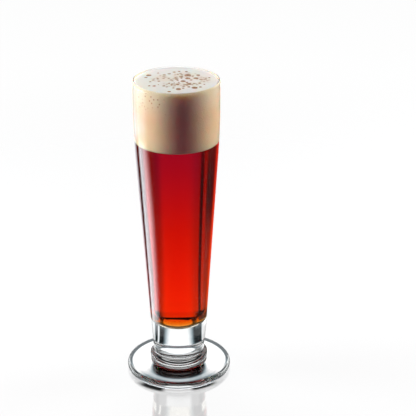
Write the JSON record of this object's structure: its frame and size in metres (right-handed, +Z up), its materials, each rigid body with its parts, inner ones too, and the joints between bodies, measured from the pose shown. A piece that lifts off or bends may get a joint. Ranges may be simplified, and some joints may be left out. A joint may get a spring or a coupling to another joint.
{
  "type": "pilsner glass",
  "caption": "Tall tapering pilsner glass on a solid stem, beaded collar and round foot, poured with red ale under a deep head of foam.",
  "frame": {"origin": "centre of the foot's standing ring, on the plane of the table", "axes": "+Z up along the axis of the glass; X and Y lie on the table and are free, because the glass is round"},
  "size_m": [0.08, 0.08, 0.235],
  "materials": {
    "glass": "polished",
    "beer": "gloss",
    "foam": "matte"
  },
  "bodies": {
    "root": {"foot": "glass", "collar": "glass", "stem": "glass", "bowl": "glass", "beer": "beer", "foam_head": "foam"}
  },
  "joints": []
}
